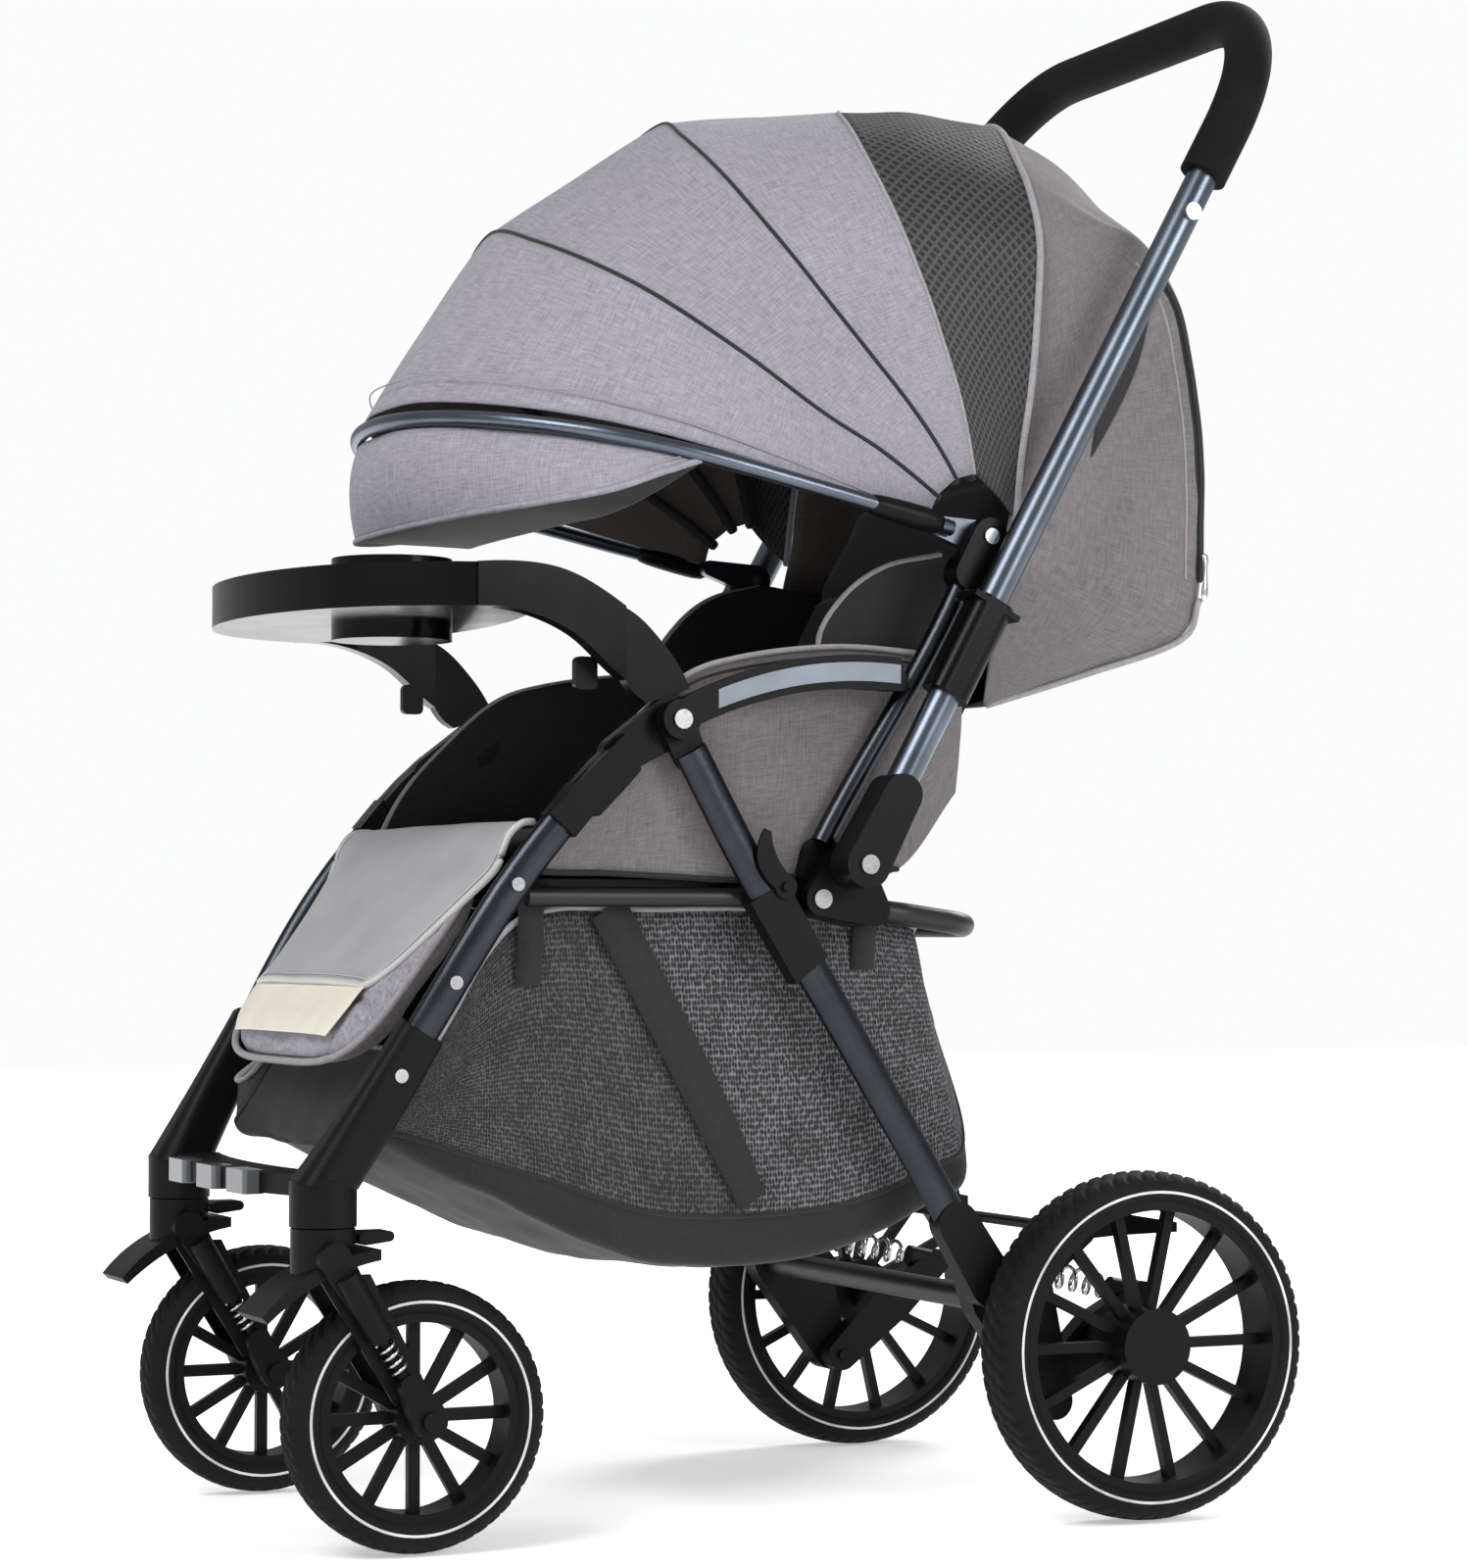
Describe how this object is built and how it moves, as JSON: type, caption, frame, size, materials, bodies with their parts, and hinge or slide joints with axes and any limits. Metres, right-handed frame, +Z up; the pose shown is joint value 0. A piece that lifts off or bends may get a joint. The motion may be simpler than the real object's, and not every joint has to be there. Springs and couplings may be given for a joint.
{
  "type": "baby stroller",
  "caption": "Folding baby stroller with reversible handle, sliding canopy, snack tray, storage basket, sprung swivel front wheels and larger rear wheels.",
  "frame": {"origin": "on the floor in the middle of the overall box", "axes": "the stroller faces -Y, +X is its left side, +Z is up"},
  "size_m": [0.4972, 0.7692, 1.0887],
  "materials": {
    "tube_dark": "satin anodised",
    "tube_bright": "gunmetal anodised",
    "black_metal": "satin black",
    "black_plastic": "moulded",
    "gloss_black": "gloss",
    "reflector": "clear grey",
    "inlay": "brushed",
    "chrome": "bright",
    "grey_fabric": "linen weave",
    "mesh_fabric": "open mesh",
    "foam": "foam",
    "tyre": "matte"
  },
  "bodies": {
    "chassis": {"front_legs": "tube_dark", "seat_frame": "black_metal", "support_tubes": "tube_dark", "u_bar": "black_metal", "hub_brackets": "black_plastic", "front_castings": "black_plastic", "footrest_bar": "black_plastic", "step_plates": "reflector", "knuckles": "black_plastic", "armrests": "black_plastic", "armrest_inlays": "inlay", "frame_bolts": "chrome", "seat_board": "black_plastic", "seat_cushion": "grey_fabric", "side_panels": "grey_fabric", "basket": "mesh_fabric", "rear_hood": "grey_fabric"},
    "rear_frame": {"rear_legs": "tube_dark", "rear_sleeves": "black_plastic", "rear_cross_tube": "black_metal", "rear_housings": "black_plastic", "rear_spring_left": "chrome", "rear_spring_right": "chrome"},
    "brake_pedals": {"brake_pedals": "black_plastic"},
    "fold_hooks": {"fold_hooks": "black_plastic"},
    "handle": {"handle_tube": "tube_bright", "foam_grip": "foam", "handle_brackets": "black_plastic", "handle_bolts": "chrome"},
    "canopy_rear": {"canopy_rear_panel": "grey_fabric"},
    "canopy_mid": {"canopy_mid_panel": "grey_fabric"},
    "canopy_front": {"canopy_bow": "tube_bright", "canopy_front_panel": "grey_fabric"},
    "backrest": {"backrest_board": "black_plastic", "backrest_pad": "grey_fabric"},
    "legrest": {"legrest_pad": "grey_fabric"},
    "tray": {"tray": "gloss_black"},
    "rear_arm_left": {"rear_arm_left": "black_plastic"},
    "rear_wheel_left": {"rear_tyre_left": "tyre", "rear_rim_left": "black_plastic"},
    "caster_left": {"caster_fork_left": "black_plastic", "front_spring_left": "chrome"},
    "slider_left": {"front_slider_left": "black_plastic"},
    "front_wheel_left": {"front_tyre_left": "tyre", "front_rim_left": "black_plastic"},
    "caster_lock_left": {"caster_lock_left": "black_plastic"},
    "lock_sleeve_left": {"lock_sleeve_left": "black_plastic"},
    "tray_button_left": {"tray_button_left": "black_plastic"},
    "rear_arm_right": {"rear_arm_right": "black_plastic"},
    "rear_wheel_right": {"rear_tyre_right": "tyre", "rear_rim_right": "black_plastic"},
    "caster_right": {"caster_fork_right": "black_plastic", "front_spring_right": "chrome"},
    "slider_right": {"front_slider_right": "black_plastic"},
    "front_wheel_right": {"front_tyre_right": "tyre", "front_rim_right": "black_plastic"},
    "caster_lock_right": {"caster_lock_right": "black_plastic"},
    "lock_sleeve_right": {"lock_sleeve_right": "black_plastic"},
    "tray_button_right": {"tray_button_right": "black_plastic"}
  },
  "joints": [
    {"name": "frame_fold", "type": "hinge", "parent": "chassis", "child": "rear_frame", "pos_m": [0, -0.10056, 0.545], "axis": [-1, 0, 0], "range_deg": [0, 38]},
    {"name": "fold_lock", "type": "hinge", "parent": "rear_frame", "child": "fold_hooks", "pos_m": [0, -0.02556, 0.434], "axis": [-1, 0, 0], "range_deg": [0, 30]},
    {"name": "brake", "type": "hinge", "parent": "rear_frame", "child": "brake_pedals", "pos_m": [0, 0.21144, 0.196], "axis": [-1, 0, 0], "range_deg": [0, 14]},
    {"name": "handle_flip", "type": "hinge", "parent": "chassis", "child": "handle", "pos_m": [0, 0.02244, 0.449], "axis": [1, 0, 0], "range_deg": [0, 57]},
    {"name": "canopy_fold", "type": "hinge", "parent": "canopy_mid", "child": "canopy_front", "pos_m": [0, 0.13144, 0.676], "axis": [-1, 0, 0], "range_deg": [0, 22]},
    {"name": "canopy_mid_fold", "type": "hinge", "parent": "canopy_rear", "child": "canopy_mid", "pos_m": [0, 0.13144, 0.676], "axis": [-1, 0, 0], "range_deg": [0, 22]},
    {"name": "canopy_rear_fold", "type": "hinge", "parent": "chassis", "child": "canopy_rear", "pos_m": [0, 0.13144, 0.676], "axis": [-1, 0, 0], "range_deg": [0, 11]},
    {"name": "backrest_recline", "type": "hinge", "parent": "chassis", "child": "backrest", "pos_m": [0, 0.08144, 0.455], "axis": [1, 0, 0], "range_deg": [0, 25]},
    {"name": "legrest_tilt", "type": "hinge", "parent": "chassis", "child": "legrest", "pos_m": [0, -0.21056, 0.45], "axis": [-1, 0, 0], "range_deg": [0, 40]},
    {"name": "tray_removal", "type": "slide", "parent": "chassis", "child": "tray", "axis": [0, -1, 0], "range_m": [0, 0.06]},
    {"name": "rear_suspension_left", "type": "hinge", "parent": "rear_frame", "child": "rear_arm_left", "pos_m": [0.155, 0.18944, 0.079], "axis": [1, 0, 0], "range_deg": [0, 6], "stiffness_Nm_per_rad": 60, "springref_deg": -5.73, "deforming": ["rear_spring_left"]},
    {"name": "rear_wheel_spin_left", "type": "hinge", "parent": "rear_arm_left", "child": "rear_wheel_left", "pos_m": [0.226, 0.23544, 0.12], "axis": [1, 0, 0], "continuous": true},
    {"name": "caster_swivel_left", "type": "hinge", "parent": "chassis", "child": "caster_left", "pos_m": [0.16, -0.33556, 0.213], "axis": [0, 0, 1], "continuous": true},
    {"name": "front_suspension_left", "type": "slide", "parent": "caster_left", "child": "slider_left", "axis": [0, -0.5082, 0.8613], "range_m": [0, 0.008], "stiffness_N_per_m": 8000, "springref_m": -0.006, "deforming": ["front_spring_left"]},
    {"name": "front_wheel_spin_left", "type": "hinge", "parent": "slider_left", "child": "front_wheel_left", "pos_m": [0.16, -0.27356, 0.089], "axis": [1, 0, 0], "continuous": true},
    {"name": "caster_brake_left", "type": "hinge", "parent": "caster_left", "child": "caster_lock_left", "pos_m": [0.16, -0.30956, 0.206], "axis": [-1, 0, 0], "range_deg": [0, 15]},
    {"name": "handle_lock_left", "type": "slide", "parent": "handle", "child": "lock_sleeve_left", "axis": [0, 0.4848, 0.8746], "range_m": [0, 0.02]},
    {"name": "tray_release_left", "type": "slide", "parent": "tray", "child": "tray_button_left", "axis": [1, 0, 0], "range_m": [0, 0.0025], "stiffness_N_per_m": 400, "springref_m": -0.001},
    {"name": "rear_suspension_right", "type": "hinge", "parent": "rear_frame", "child": "rear_arm_right", "pos_m": [-0.155, 0.18944, 0.079], "axis": [1, 0, 0], "range_deg": [0, 6], "stiffness_Nm_per_rad": 60, "springref_deg": -5.73, "deforming": ["rear_spring_right"]},
    {"name": "rear_wheel_spin_right", "type": "hinge", "parent": "rear_arm_right", "child": "rear_wheel_right", "pos_m": [-0.226, 0.23544, 0.12], "axis": [1, 0, 0], "continuous": true},
    {"name": "caster_swivel_right", "type": "hinge", "parent": "chassis", "child": "caster_right", "pos_m": [-0.16, -0.33556, 0.213], "axis": [0, 0, 1], "continuous": true},
    {"name": "front_suspension_right", "type": "slide", "parent": "caster_right", "child": "slider_right", "axis": [0, -0.5082, 0.8613], "range_m": [0, 0.008], "stiffness_N_per_m": 8000, "springref_m": -0.006, "deforming": ["front_spring_right"]},
    {"name": "front_wheel_spin_right", "type": "hinge", "parent": "slider_right", "child": "front_wheel_right", "pos_m": [-0.16, -0.27356, 0.089], "axis": [1, 0, 0], "continuous": true},
    {"name": "caster_brake_right", "type": "hinge", "parent": "caster_right", "child": "caster_lock_right", "pos_m": [-0.16, -0.30956, 0.206], "axis": [-1, 0, 0], "range_deg": [0, 15]},
    {"name": "handle_lock_right", "type": "slide", "parent": "handle", "child": "lock_sleeve_right", "axis": [0, 0.4848, 0.8746], "range_m": [0, 0.02]},
    {"name": "tray_release_right", "type": "slide", "parent": "tray", "child": "tray_button_right", "axis": [-1, 0, 0], "range_m": [0, 0.0025], "stiffness_N_per_m": 400, "springref_m": -0.001}
  ],
  "couplings": [
    {"joint": "canopy_mid_fold", "follows": "canopy_fold", "ratio": 1},
    {"joint": "canopy_rear_fold", "follows": "canopy_fold", "ratio": 0.5}
  ]
}
